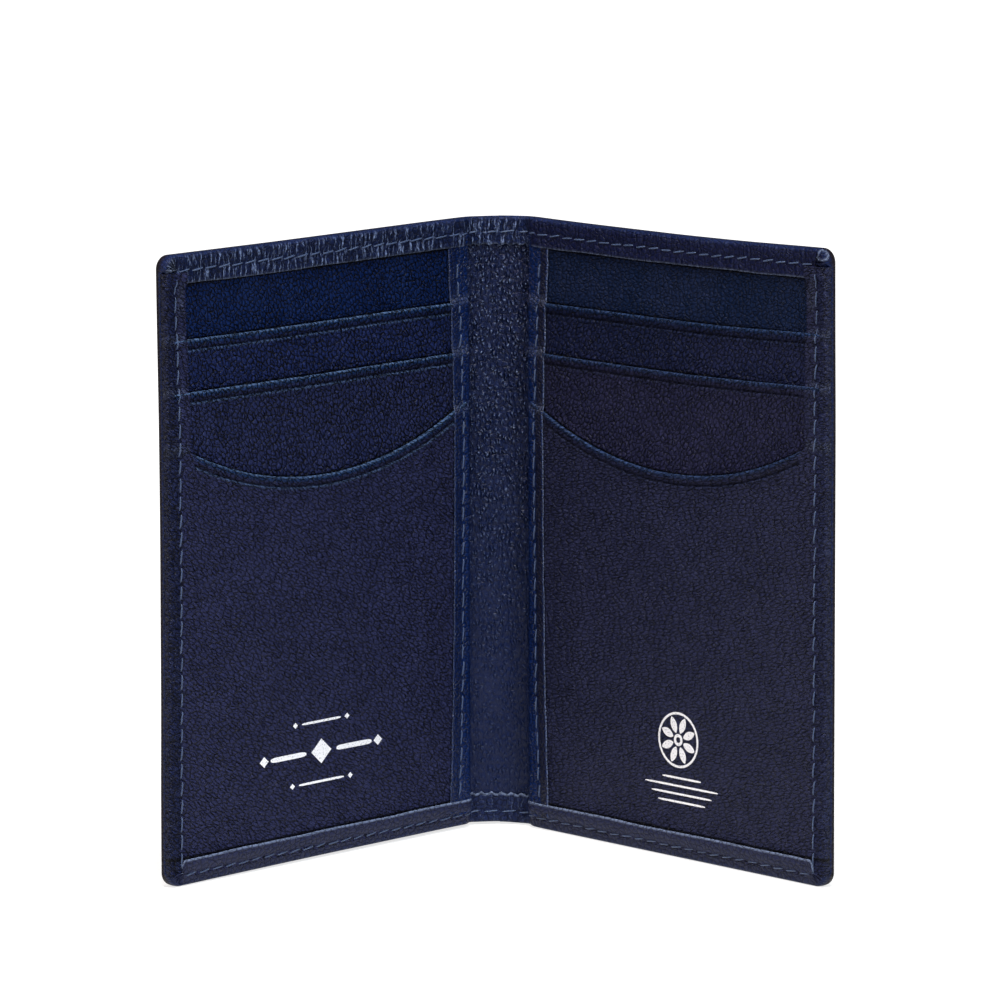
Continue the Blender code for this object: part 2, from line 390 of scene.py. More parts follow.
def cover_back():
    """The cover's back face, rows upwards: its flat points, their indices, and those of its free sides."""
    us = joined(steps(-FOLD_X, 4.0, 0.28)[:-1], steps(4.0, CORNER_U, 0.34))
    patch = corner_block(RIM_BACK_ROUND)
    low = CORNER + patch[:, 0, 1]
    vs = joined(low[:-1], steps(CORNER, HEIGHT - CORNER, 0.6), (HEIGHT - low[::-1])[1:])
    us = joined(us, CORNER_U + patch[-1, 1:, 0])
    grid = np.stack(np.meshgrid(us, vs), -1)
    corner = slice(len(us) - CORNER_STEPS - 1, None)
    grid[: CORNER_STEPS + 1, corner] = [CORNER_U, CORNER] + patch
    grid[-CORNER_STEPS - 1 :, corner] = [CORNER_U, HEIGHT - CORNER] + patch[::-1] * [1, -1]
    index = numbered((len(vs), len(us)))
    return grid, index, joined(index[0], index[1:-1, -1], index[-1, ::-1])


def cover_outline(side, edge):
    """The stations round the cover's edge: where each one is, and which part of the edge it is in."""
    centre = np.stack([np.minimum(edge[:, 0], CORNER_U), np.clip(edge[:, 1], CORNER, HEIGHT - CORNER)], 1)
    normal = unit(edge - centre)
    points = centre + CORNER * normal
    u, v = points.T
    at = SimpleNamespace(u=u, v=v, points=points, normal=normal, top=v > HEIGHT / 2)
    at.angle = np.degrees(np.arctan2(normal[:, 1], normal[:, 0]))
    at.run = side * (FOLD_X + edge[:, 0])
    # 1 where the front leather covers the outer edge, 0 where the cover itself turns over it
    at.covered = smooth((u - CORNER_U) / 0.6) * smooth((v - 1.7) / 0.7)
    at.covered = at.covered * smooth((HEIGHT - 2.3 - v) / 0.7)
    at.gutter = 1 - smooth((u + 0.4) / 0.9)
    at.corner = smooth((u - CORNER_U) / 0.4) * (1 - at.covered)
    return at


def ripple(at, pitch, shift):
    return np.sin(2 * pi * at.run / pitch + shift)


def hem_width(side, at):
    """How far the cover reaches in over the front: gathered in the gutter, cut back at the corners."""
    gather = 0.17 * ripple(at, GATHER_PITCH, 0.6) + 0.06 * ripple(at, FINE_GATHER_PITCH, 0.0)
    width = np.where(at.top, RAW_EDGE_TOP, RAW_EDGE_BOTTOM)
    width = width + 0.10 * noise(at.u / 7, np.where(at.top, 2, 7), 21 + side)
    width = width + at.gutter * (gather + np.where(at.top, 0.0, 0.55))
    width = lerp(width, np.where(at.top, 2.6, 2.3), smooth((at.u - HEM_CUT) / 0.45))
    return lerp(width, 1.25, at.covered)


def hem_rows(at, width):
    """Insets and levels of the rows from the back's edge round the rim to the raw edge."""
    flat = 0 * at.u
    rim = rim_level(at.u) - RIM_FRONT_ROUND
    rows = []
    for angle in np.radians([14, 30, 46, 62, 78, 90]):
        drop = RIM_BACK_ROUND * (1 - cos(angle))
        rows.append((RIM_BACK_ROUND * (1 - sin(angle)) + flat, BACK + drop + flat))
    for share in (0.25, 0.5, 0.75, 1.0):
        rows.append((-0.06 * sin(share * pi) + flat, lerp(BACK + RIM_BACK_ROUND, rim, share)))
    for angle in np.radians([18, 36, 54, 72, 90]):
        rise = RIM_FRONT_ROUND * sin(angle)
        rows.append((RIM_FRONT_ROUND * (1 - cos(angle)) + flat, rim + rise))
    for share in joined(np.linspace(0.06, 0.94, 19), [0.98, 1.0]):
        reach = RIM_FRONT_ROUND + (width - RIM_FRONT_ROUND) * share
        rows.append((reach, hem_level(at.u, at.top, reach) - RAW_DROP.get(float(share), 0.0)))
    return np.array(rows).transpose(1, 0, 2)


def side_rows(insets, levels):
    """The same rows where the edge steps in under the front leather."""
    share = np.linspace(0, 1, len(insets))
    side_insets = np.interp(share, *np.array(SIDE_INSETS).T)
    side_levels = np.interp(share, *np.array(SIDE_LEVELS).T)
    side_insets[:6], side_levels[:6] = insets[:6, 0], levels[:6, 0]
    return side_insets[:, None], side_levels[:, None]


def turn_corner(side, at, on_face, insets, levels):
    """On the left, a groove beside the lower corner. On the right, a small curl of the upper one.

    Returns the rows and their distance from the curl's middle.
    """
    if side < 0:
        groove = 0.45 * on_face * peak(at.u, HEM_CUT + 0.42, 0.30)
        return insets, levels - groove * (at.v < CORNER), None
    curl = np.hypot(CORNER * np.radians(at.angle - 42), row_length(insets, levels) - 2.75)
    curl = np.where(at.top, curl, 9.0)
    swell = 0.30 * peak(curl, 0.95, 0.26) - 0.22 * peak(curl, 0.0, 0.5)
    fall, slide = np.gradient(levels, axis=0), np.gradient(insets, axis=0)
    span = np.hypot(fall, slide) + 1e-9
    return insets - swell * fall / span, levels + swell * slide / span, curl


def row_length(insets, levels):
    """Length along the leather from the first row to each row."""
    length = np.cumsum(np.hypot(np.diff(insets, axis=0), np.diff(levels, axis=0)), 0)
    return joined(0 * length[:1], length)


def cover_marks(side, at, count, on_face, pleat, curl):
    """Marks on the rows of the edge, which the cover's material reads."""
    shape = on_face.shape
    rim = np.zeros(shape)
    rim[:9] = np.array([1.0] * 7 + [0.6, 0.2])[:, None]
    raw = np.zeros(shape)
    raw[-1], raw[-2], raw[-3] = 1.0, np.where(at.top, 0.7, 1.0), np.where(at.top, 0.1, 0.8)
    # The right's curl ring and the tops of the left's upper corner pleats get the raw tint as a painted highlight.
    if side > 0:
        raw = np.maximum(raw, 1.1 * peak(curl, 0.95, 0.17))
    else:
        raw = np.maximum(raw, 1.4 * at.corner * on_face * smooth((pleat - 0.2) / 0.6) * at.top)
    gathered = np.where(at.top, 1.0 if side < 0 else 0.35, 0.10)
    gathered = lerp(gathered, np.where(at.top, 0.9, 0.3), at.gutter)
    bare = on_face * (1 - at.covered)
    # low paints the bare bottom hem lighter and greyer, a painted light; shade paints the bare top hem of the
    # right half darker, a painted shade.
    marks = {
        "rim": rim,
        "raw": raw * (1 - at.covered),
        "hem": on_face * gathered,
        "low": bare * ~at.top * lerp(1.0, 0.35, at.gutter),
        "shade": bare * at.top * (side > 0) * (1 - at.gutter),
    }
    return {name: joined(np.zeros(count), values.ravel()) for name, values in marks.items()}


def cover_half(half, material):
    """The outer cover, turned over the rim at the top, the bottom and the corners."""
    side = SIDES[half]
    grid, index, ring = cover_back()
    edge = grid.reshape(-1, 2)[ring]
    at = cover_outline(side, edge)
    width = hem_width(side, at)
    insets, levels = hem_rows(at, width)
    side_insets, side_levels = side_rows(insets, levels)
    insets, levels = lerp(insets, side_insets, at.covered), lerp(levels, side_levels, at.covered)
    row_number = np.arange(len(insets))[:, None]

    # gathers and pleats, which fade at the rim's back and under the strip
    face = (insets - RIM_FRONT_ROUND) / np.maximum(width - RIM_FRONT_ROUND, 0.1)
    on_face = smooth(face / 0.25 + 0.6) * (row_number > 9)
    gather = 0.13 * ripple(at, GATHER_PITCH, 0.6 + 0.5 * insets)
    gather = gather + 0.05 * ripple(at, FINE_GATHER_PITCH, -0.8 * insets)
    pucker = noise(at.run / PUCKER_PITCH, insets / 4.5 + np.where(at.top, 0.0, 9.0), 23 + side)
    pucker = np.where(at.top, 0.075 if side < 0 else 0.045, 0.04) * np.maximum(pucker, -0.4)
    pleat = np.sin(np.radians(at.angle) * (17 if side < 0 else 13) + 1.0)
    levels = levels + on_face * lerp(pucker, gather, at.gutter)
    levels = levels + at.corner * on_face * 0.18 * pleat * smooth(insets / 1.5)
    insets, levels, curl = turn_corner(side, at, on_face, insets, levels)
    seam_inset = np.where(at.top, HEIGHT - SEAM_TOP, SEAM_BOTTOM)
    stitched = (1 - at.covered) * (1 - at.corner) * on_face
    levels = levels + stitched * stitch_dip(insets - seam_inset, at.run)

    # the inner side of the leather, one thickness in from each row
    slide, fall = np.gradient(insets, axis=0), np.gradient(levels, axis=0)
    thick = lerp(COVER_THICK, HEM_THICK, smooth(row_number / len(insets) * 3 - 1))
    thick = thick / (np.hypot(slide, fall) + 1e-9)

    def points(back, row_insets, row_levels):
        rows = at.points - at.normal * row_insets[..., None]
        rows = place(side, rows[..., 0], row_levels, rows[..., 1])
        face = place(side, grid[..., 0], back, grid[..., 1])
        return joined(face.reshape(-1, 3), rows.reshape(-1, 3))

    outer = points(BACK, insets, levels)
    inner = points(BACK + 0.6, insets + thick * fall, levels - thick * slide)
    band = numbered(insets.shape, index.size)
    faces = joined(quads(index), quads(np.concatenate([ring[None], band]))[:, ::-1])
    flat = edge + at.normal * (row_length(insets, levels) + 0.2)[..., None]
    uv = joined(grid.reshape(-1, 2), flat.reshape(-1, 2))
    marks = cover_marks(side, at, index.size, on_face, pleat, curl)
    obj = solid(f"outer_cover_{half}", side, outer, inner, faces, uv, marks)
    nodes = (f"cover_{half}", "cover_spine")
    finish_piece(obj, half, material, nodes, bends=True)


# ------ the sheets


def gutter_lining(half, material):
    side = SIDES[half]
    u = joined(steps(-FOLD_X, 4.0, 0.3)[:-1], steps(4.0, SHEET_U[1], 4.0))
    u, v = np.meshgrid(u, steps(SHEET_BOTTOM, HEIGHT - SHEET_BOTTOM, 0.8)[::-1])
    n = lerp(LINING_SPINE, LINING_PANEL, smooth((u + 1.4) / 3.2))
    x = side * (FOLD_X + u)
    uneven = 0.05 * noise(x / 3.2, v / 7, 31) + 0.02 * noise(x / 1.3, v / 1.6, 32)
    n = n + uneven * (1 - smooth((u - 0.2) / 1.5))
    obj = sheet(f"gutter_lining_{half}", side, u, v, n, n - 0.2)
    nodes = (f"lining_{half}", "lining_spine")
    finish_piece(obj, half, material, nodes, bends=True)


def pocket_backing(half, material):
    v = joined(steps(SHEET_BOTTOM, 86, 4.0)[:-1], steps(86, HEIGHT - SHEET_BOTTOM, 0.5))
    u, v = np.meshgrid(steps(*SHEET_U, 0.6), v[::-1])
    n = LEVEL["backing"] + wave(u, v)
    obj = sheet(f"pocket_backing_{half}", SIDES[half], u, v, n, n - THICK["backing"])
    finish_piece(obj, half, material, (f"backing_{half}",))


LIP_ROUND = 0.26
LIP_ROWS = np.array(
    [0, 0.03, 0.08, 0.15, 0.26, 0.4, 0.6, 0.85, 1.1, 1.3, 1.45, 1.56, 1.66, 1.76, 1.88, 2.05, 2.3, 2.7, 3.2]
)


def lip_shape(depth):
    """How far a lip stands proud at a depth below its edge: a rounded edge, then a creased line."""
    edge = -LIP_ROUND + np.sqrt(np.maximum(LIP_ROUND**2 - np.maximum(LIP_ROUND - depth, 0) ** 2, 0))
    proud = 0.42 * np.exp(-((depth / 1.3) ** 2))
    crease = -0.22 * peak(depth, 1.66, 0.16) + 0.08 * peak(depth, 2.0, 0.22)
    return edge + proud + crease


def lip_marks(side, depth, share=1.0):
    """Painted highlights on the beaded edge and the creased line, with a blue band and a painted shade in the fold
    between.
    """
    # The painted highlights are much stronger on the left half than on the right.
    bead_highlight, line, band = (1.0, 0.75, 1.0) if side < 0 else (0.22, 0.10, 0.6)
    marks = {
        "lip": bead_highlight * (1 - smooth((depth - 0.10) / 0.35)) + line * peak(depth, 1.88, 0.17),
        "band": band * (1 - smooth((depth - 0.15 - 0.4 * band) / 0.5)),
        "fold": peak(depth, 1.52, 0.24),
    }
    return {name: (share * values).ravel() for name, values in marks.items()}


def lip_thickness(depth, thick):
    """The leather is turned over at a lip, so it is double there."""
    return thick + 0.24 * (1 - smooth((depth - 1.1) / 1.4))


def slot_sheet(half, layer, lip, bottom, material):
    side = SIDES[half]
    depth = joined(LIP_ROWS, steps(3.8, 13.0, 0.65), steps(17.0, lip - bottom, 6.0))
    u, depth = np.meshgrid(steps(*SHEET_U, 0.6), depth)
    sway = 0.12 * noise(u / 17, 0 * u + lip, 41) + 0.25 * smooth((u - 40) / 30) * (side > 0)
    v = lip + sway * (1 - smooth(depth / 12)) - depth
    flat = LEVEL[layer] + wave(u, v)
    n = flat + lip_shape(depth) * (1 + 0.12 * noise(u / 5, 0 * u + lip, 42))
    back = np.minimum(flat + lip_shape(np.maximum(depth, LIP_ROUND)), n + 0.25)
    back = back - lip_thickness(depth, THICK[layer])
    obj = sheet(f"{layer}_sheet_{half}", side, u, v, n, back, lip_marks(side, depth))
    finish_piece(obj, half, material, (f"{layer}_{half}",))


def pocket_body():
    """The pocket's body: its flat grid, the depth below the mouth, and its front and back levels."""
    us = steps(SHEET_U[0], STRIP_U, 0.55)
    deepest = MOUTH_END - SHEET_BOTTOM
    u, depth = np.meshgrid(us, joined(LIP_ROWS, steps(3.8, deepest, 0.6)))
    # rows follow the mouth, then straighten out towards the bottom
    away = smooth((STRIP_U - us) / 2.5)
    rise = np.gradient(mouth(us), us) * away
    slant = np.stack([-rise, np.ones_like(rise)], 1) / np.hypot(rise, 1)[:, None]
    far_v = mouth(u) - depth * (mouth(u) - SHEET_BOTTOM) / deepest
    straight = smooth((depth - 1.5) / 11)
    body_u = lerp(u - depth * slant[:, 0], u, straight)
    body_v = lerp(mouth(u) - depth * slant[:, 1], far_v, straight)
    level = LEVEL["pocket_front"] + wave(body_u, body_v)
    thick = THICK["pocket_front"]
    back = level + lip_shape(np.maximum(depth, LIP_ROUND)) * away
    back = back - lerp(thick, lip_thickness(depth, thick), away)
    return body_u, body_v, depth, away, level + lip_shape(depth) * away, back


def front_pocket(half, material):
    """The front pocket and, in one piece with it, the strip up the outer side that turns over the rim."""
    side = SIDES[half]
    thick = THICK["pocket_front"]
    body_u, body_v, depth, away, body_n, body_back = pocket_body()

    # strip: columns run from its inner edge over the rim and down the outer face
    reach = np.linspace(STRIP, RIM_FRONT_ROUND, 18)
    turn = np.radians([15, 30, 45, 60, 75, 90])
    fall = np.array([0.25, 0.5, 0.72, 0.8])
    column_inset = joined(reach, RIM_FRONT_ROUND * (1 - np.sin(turn)), 0 * fall)
    column_drop = joined(0 * reach, RIM_FRONT_ROUND * (1 - np.cos(turn)), RIM_FRONT_ROUND + fall)
    column_flat = np.cumsum(np.hypot(np.diff(column_inset), np.diff(column_drop)))
    column_turn = np.clip((np.arange(len(column_inset)) - len(reach) + 1) / 6, 0, 1) * pi / 2
    above = steps(MOUTH_END, HEIGHT - 2.85, 0.5)[:0:-1]
    rows = np.maximum(joined(above, body_v[:, -1]), 1.9)
    height, inset = np.meshgrid(rows, column_inset, indexing="ij")
    curve = np.clip(np.maximum(CORNER - height, height - (HEIGHT - CORNER)), 0, CORNER - 0.3)
    out_u = CORNER_U + np.sqrt(CORNER**2 - curve**2)
    u = lerp(STRIP_U, out_u, (STRIP - inset) / STRIP)
    n = strip_level(height, inset, over_hem=0.12) + wave(u, height)
    n = n + 0.10 * scuff(height) * smooth((STRIP - inset) / 1.5)
    n = n + 0.05 * noise(inset / 2, height / 1.1, 51 + side) * smooth((2.6 - inset) / 2)
    n = n - column_drop + stitch_dip(u - SEAM_SIDE, height)
    back_n = n - thick * np.cos(column_turn)
    back_u = u - thick * np.sin(column_turn) * 1.2

    # the strip shares the body's last column
    body = numbered(body_u.shape)
    strip = np.full(height.shape, -1)
    strip[len(above) :, 0] = body[:, -1]
    fresh = strip < 0
    strip[fresh] = body.size + np.arange(fresh.sum())

    def merge(body_values, strip_values):
        return joined(np.ravel(body_values), np.broadcast_to(strip_values, fresh.shape)[fresh])

    v = merge(body_v, height)
    front = place(side, merge(body_u, u), merge(body_n, n), v)
    back = place(side, merge(body_u, back_u), merge(body_back, back_n), v)
    uv = np.stack([merge(body_u, STRIP_U + joined([0], column_flat)), v], 1)
    marks = {name: merge(values, 0.0) for name, values in lip_marks(side, depth, away).items()}
    patch = smooth(height - 93.5) * (1 - smooth((height - 99.0) / 0.8)) * smooth((inset - 2.5) / 0.6)
    rubbed = (scuff(height) + 0.8 * patch) * smooth((STRIP - inset) / 0.8)
    marks["scuff"] = merge(0 * body_u, rubbed)
    # The strip is painted darker, more on the left half than the right: a painted shade.
    shaded = 1.0 if side < 0 else 0.55
    marks["strip"] = merge(0 * body_u, smooth((STRIP - 1.2 - inset) / 2.0) * shaded)
    faces = joined(quads(body), quads(strip))
    obj = solid(f"front_pocket_{half}", side, front, back, faces, uv, marks)
    finish_piece(obj, half, material, (f"pocket_front_{half}",))


def binding_level(v):
    return stack(v, float(mouth(4.0)) - 0.4, 2.4, 0.10) + BINDING_THICK


def binding_strip(half, material):
    """The strip folded over the pockets' spine-side edges: a front leg, a roll, and a back leg."""
    side = SIDES[half]
    v = steps(2.2, HEIGHT - 2.4, 0.45)[::-1]
    level = binding_level(v) + wave(3.0, v)
    raw = along(BINDING_RAW, v) + 0.06 * noise(v / 2.4, 0 * v, 61 + side)
    seam = along(BINDING_SEAM, v)
    radius = (level - BINDING_BACK) / 2
    middle_n = (level + BINDING_BACK) / 2
    middle_u = (BINDING_GUTTER + radius + middle_n * SIN) / COS
    columns = []
    for share in joined([0, 0.012, 0.04], np.linspace(0.08, 1, 22)):
        u = lerp(raw, middle_u, share)
        lump = 0.08 * scuff(v) * smooth(share * 4) + 0.02 * noise(u, v / 1.7, 62 + side)
        drop = {0.0: 0.20, 0.012: 0.07}.get(float(share), 0.0)
        columns.append((u, level - drop + lump + stitch_dip(u - seam, v + BINDING_SHIFT)))
    for angle in np.radians(np.arange(15, 181, 15)):
        columns.append((middle_u - radius * np.sin(angle), middle_n + radius * np.cos(angle)))
    for reach in (1.0, 2.0, 3.0, 4.0):
        columns.append((middle_u + reach, BINDING_BACK + 0 * v))
    u, n = np.array(columns[::-1]).transpose(1, 2, 0)
    slide, rise = np.gradient(u, axis=1), np.gradient(n, axis=1)
    thick = BINDING_LEATHER / np.hypot(slide, rise)
    height = np.repeat(v[:, None], u.shape[1], 1)
    front = place(side, u, n, height).reshape(-1, 3)
    back = place(side, u + thick * rise, n - thick * slide, height).reshape(-1, 3)
    length = row_length(u.T, n.T).T
    uv = np.stack([length, height], -1).reshape(-1, 2)
    raw_mark = np.zeros(u.shape)
    # The raw edge's pale tint is the cut edge's own colour, made stronger on the right than the left as painted
    # light.
    raw_mark[:, -1], raw_mark[:, -2] = (1, 0.8) if side > 0 else (0.4, 0.3)
    # Painted shade in the valley between the seam and the raw edge, stronger on the right.
    valley_shade = smooth((u - seam[:, None] - 0.15) / 0.3) * smooth((raw[:, None] - u - 0.15) / 0.3)
    valley_shade = (0.9 if side > 0 else 0.35) * valley_shade * (n > BINDING_BACK + 0.5)
    marks = {"raw": raw_mark.ravel(), "scuff": scuff(height).ravel(), "fold": valley_shade.ravel()}
    faces = quads(numbered(u.shape))
    obj = solid(f"binding_strip_{half}", side, front, back, faces, uv, marks)
    finish_piece(obj, half, material, (f"binding_{half}",))


# ------ stitches


def seam_mesh(name, stitches, side):
    """Short threads from one needle hole to the next. A stitch is (u, n, v) points from end to end."""
    around = np.linspace(0, 2 * pi, THREAD_SIDES, endpoint=False)
    inward = np.array([-side * SIN, -COS, 0.0])
    points, faces, flat, offset = [], [], [], 0
    for path in stitches:
        middle = place(side, *np.array(path).T)
        tangent = unit(np.gradient(middle, axis=0))
        across = unit(np.cross(tangent, inward))
        lift = np.cross(across, tangent)
        radius = THREAD_RADIUS * MM * (0.55 + 0.45 * (1 - np.linspace(-1, 1, len(path)) ** 4))
        circle = np.cos(around)[:, None] * across[:, None] + np.sin(around)[:, None] * lift[:, None]
        points.append((middle[:, None] + radius[:, None, None] * circle).reshape(-1, 3))
        index = numbered(circle.shape[:2], offset)
        faces += quads(np.concatenate([index, index[:, :1]], 1)).tolist()
        faces += [index[0].tolist(), index[-1][::-1].tolist()]
        run = np.linspace(0, STITCH_LENGTH, len(path))[:, None] + offset * 0.37
        flat.append(np.stack(np.broadcast_arrays(around / 2, run), -1).reshape(-1, 2))
        offset += index.size
    return link(name, smooth_mesh(name, np.concatenate(points), faces, np.concatenate(flat)))


def stitch_run(start, end, line):
    """Stitches along a seam. line(s, shift) gives (u, n, v) at a run s, shifted sideways."""
    stitches = []
    first = ceil(start / STITCH_PITCH)
    last = floor(end / STITCH_PITCH) - 1
    chance = np.random.default_rng(int(abs(start * 10)) + 7)
    for k in range(first, last + 1):
        middle = (k + 0.5) * STITCH_PITCH
        t = np.linspace(-1, 1, 11)
        slant = 0.17 + 0.09 * chance.uniform(-1, 1)
        wander = 0.08 * chance.uniform(-1, 1)
        length = STITCH_LENGTH * (1 + 0.07 * chance.uniform(-1, 1))
        lift = 0.07 + 0.05 * chance.uniform(-1, 1)
        rise = lift - 0.36 * np.abs(t) ** 6
        stitches.append([line(middle + length / 2 * a, slant * a + wander, r) for a, r in zip(t, rise)])
    return stitches


def seams(half, material):
    side = SIDES[half]

    def on_hem(top, height, inset):
        def line(s, shift, lift):
            u = s * side - FOLD_X
            return (u, float(hem_level(u, top, inset)) - 0.07 + lift, height + shift)

        return line

    def on_side(s, shift, lift):
        top = strip_level(s, WIDTH - SEAM_SIDE, over_foot=0.2 * (s < 3.6))
        return (SEAM_SIDE + side * shift, float(top) - 0.05 + lift, s)

    def on_binding(s, shift, lift):
        across = float(along(BINDING_SEAM, s)) + side * shift
        return (across, float(binding_level(s)) - 0.07 + lift, s - BINDING_SHIFT)

    reach = FOLD_X + SEAM_SIDE + 0.8
    span = (0.0, reach) if side > 0 else (-reach, 0.0)
    top_line = on_hem(True, SEAM_TOP, HEIGHT - SEAM_TOP)
    bottom_line = on_hem(False, SEAM_BOTTOM, SEAM_BOTTOM)
    for name, line, ends in (
        ("top", top_line, span),
        ("bottom", bottom_line, span),
        ("side", on_side, (1.8, SEAM_TOP + 0.9)),
        ("binding", on_binding, (5.2, HEIGHT - 4.4)),
    ):
        bends = name in ("top", "bottom")
        nodes = [f"seam_{name}_{half}"] + [f"seam_spine_{name}"] * bends
        obj = seam_mesh(f"stitches_{name}_{half}", stitch_run(*ends, line), side)
        finish_piece(obj, half, material, nodes, bends=bends)


# ------ foil ornaments


def foil(name, half, ribbons, material):
    """A thin stamped ornament of ribbons. A ribbon is its (u, v) path and half its width at each point."""
    spots, faces, count = [], [], 0
    for path, half_width in ribbons:
        across = unit(np.gradient(path, axis=0))[:, ::-1] * [-1, 1]
        across = across * np.broadcast_to(half_width, len(path))[:, None]
        faces.append(quads(numbered((len(path), 3), count)))
        spots.append(np.stack([path - across, path, path + across], 1).reshape(-1, 2))
        count += len(path) * 3
    spots = np.concatenate(spots)
    u, v = spots.T
    side = SIDES[half]
    level = LEVEL["pocket_front"] + wave(u, v)
    front, back = place(side, u, level + 0.035, v), place(side, u, level - 0.03, v)
    obj = solid(name, side, front, back, np.concatenate(faces), spots)
    finish_piece(obj, half, material, ())


def rule(u, v, length, half=0.16):
    ends = np.linspace(-length / 2, length / 2, 24)
    taper = half * np.sqrt(1 - 0.85 * np.abs(ends / (length / 2)) ** 8)
    return np.stack([u + ends, 0 * ends + v], 1), taper


def lozenge(u, v, width, height):
    t = np.linspace(-1, 1, 21)
    return np.stack([u + t * width / 2, 0 * t + v], 1), np.maximum((1 - np.abs(t)) * height / 2, 0.02)


def ring(u, v, radius, half):
    t = np.linspace(0, 2 * pi, 49)
    return np.stack([u + radius * np.cos(t), v + radius * np.sin(t)], 1), half


def petals(u, v, count, near, far, half):
    t = np.linspace(0, 1, 13)
    shapes = []
    for k in range(count):
        angle = 2 * pi * (k + 0.5) / count
        reach = lerp(near, far, t)
        path = np.stack([u + reach * cos(angle), v + reach * sin(angle)], 1)
        shapes.append((path, np.maximum(half * np.sin(pi * t) ** 0.7, 0.02)))
    return shapes


def ornaments(material):
    u, v = LEFT_ORNAMENT
    left = [rule(u, v + 5.1, 9.0, 0.2), rule(u, v - 5.1, 10.4, 0.2), lozenge(u, v, 4.6, 4.2)]
    for sign in (-1, 1):
        left += [rule(u + sign * 7.6, v, 8.2, 0.42), lozenge(u + sign * 13.2, v, 2.0, 1.8)]
        left += [lozenge(u + sign * 6.0, v + 5.1, 1.1, 1.0), lozenge(u + sign * 6.7, v - 5.1, 1.1, 1.0)]
    foil("foil_rule_left", "left", left, material)
    u, v = RIGHT_ORNAMENT
    right = [ring(u, v, 4.5, 0.20), ring(u, v, 0.75, 0.26)]
    right += petals(u, v, 8, 1.25, 4.1, 0.68)
    for drop, length in ((6.4, 9.0), (7.75, 17.0), (9.1, 14.0), (10.45, 11.0)):
        right.append(rule(u + 0.8, v - drop, length, 0.17))
    foil("foil_rosette_right", "right", right, material)


# ------ materials


class Nodes:
    """Shorthand for building a material's node tree."""

    def __init__(self, name, vector="flat"):
        self.material = bpy.data.materials.new(name)
        self.material.use_nodes = True
        self.tree = self.material.node_tree
        if vector == "flat":
            self.vector = self.add("ShaderNodeUVMap", uv_map="flat").outputs[0]
        else:
            self.vector = self.add("ShaderNodeTexCoord").outputs["Object"]

    def put(self, node, inputs):
        for key, value in dict(inputs).items():
            if isinstance(value, bpy.types.NodeSocket):
                self.tree.links.new(value, node.inputs[key])
            else:
                node.inputs[key].default_value = value

    def add(self, kind, inputs=(), **settings):
        node = self.tree.nodes.new(kind)
        for key, value in settings.items():
            setattr(node, key, value)
        self.put(node, inputs)
        return node

    def finish(self, inputs):
        self.put(self.tree.nodes["Principled BSDF"], inputs)
        return self.material

    def math(self, operation, *values):
        return self.add("ShaderNodeMath", dict(enumerate(values)), operation=operation).outputs[0]

    def vector_math(self, operation, *values):
        return self.add("ShaderNodeVectorMath", dict(enumerate(values)), operation=operation).outputs[0]

    def times(self, *values):
        return self.math("MULTIPLY", *values)

    def plus_times(self, a, b, c):
        """a times b, plus c."""
        return self.math("MULTIPLY_ADD", a, b, c)

    def gap(self, a, b):
        return self.math("ABSOLUTE", self.math("SUBTRACT", a, b))

    def split(self, vector):
        return self.add("ShaderNodeSeparateXYZ", {0: vector}).outputs[:2]

    def noise(self, vector, scale, detail=2.0, rough=0.5, output="Fac"):
        inputs = {"Vector": vector, "Scale": scale, "Detail": detail, "Roughness": rough}
        return self.add("ShaderNodeTexNoise", inputs, noise_dimensions="2D").outputs[output]

    def cells(self, vector, scale, feature):
        inputs = {"Vector": vector, "Scale": scale}
        node = self.add("ShaderNodeTexVoronoi", inputs, feature=feature, voronoi_dimensions="2D")
        return node.outputs["Distance"]

    def range(self, value, low, high, to_low=0.0, to_high=1.0):
        inputs = {"Value": value, "From Min": low, "From Max": high, "To Min": to_low, "To Max": to_high}
        return self.add("ShaderNodeMapRange", inputs, interpolation_type="SMOOTHSTEP").outputs[0]

    def mix(self, factor, first, second):
        """Colours, or colour sockets, mixed."""
        first, second = (color(*end) if isinstance(end, tuple) else end for end in (first, second))
        return self.add("ShaderNodeMix", {0: factor, 6: first, 7: second}, data_type="RGBA").outputs[2]

    def mark(self, name):
        return self.add("ShaderNodeAttribute", attribute_name=name).outputs["Fac"]

    def bump(self, height, distance, normal=None):
        inputs = {"Height": height, "Distance": distance, "Strength": 1.0}
        if normal is not None:
            inputs["Normal"] = normal
        return self.add("ShaderNodeBump", inputs).outputs[0]


def color(r, g, b):
    return (r, g, b, 1.0)


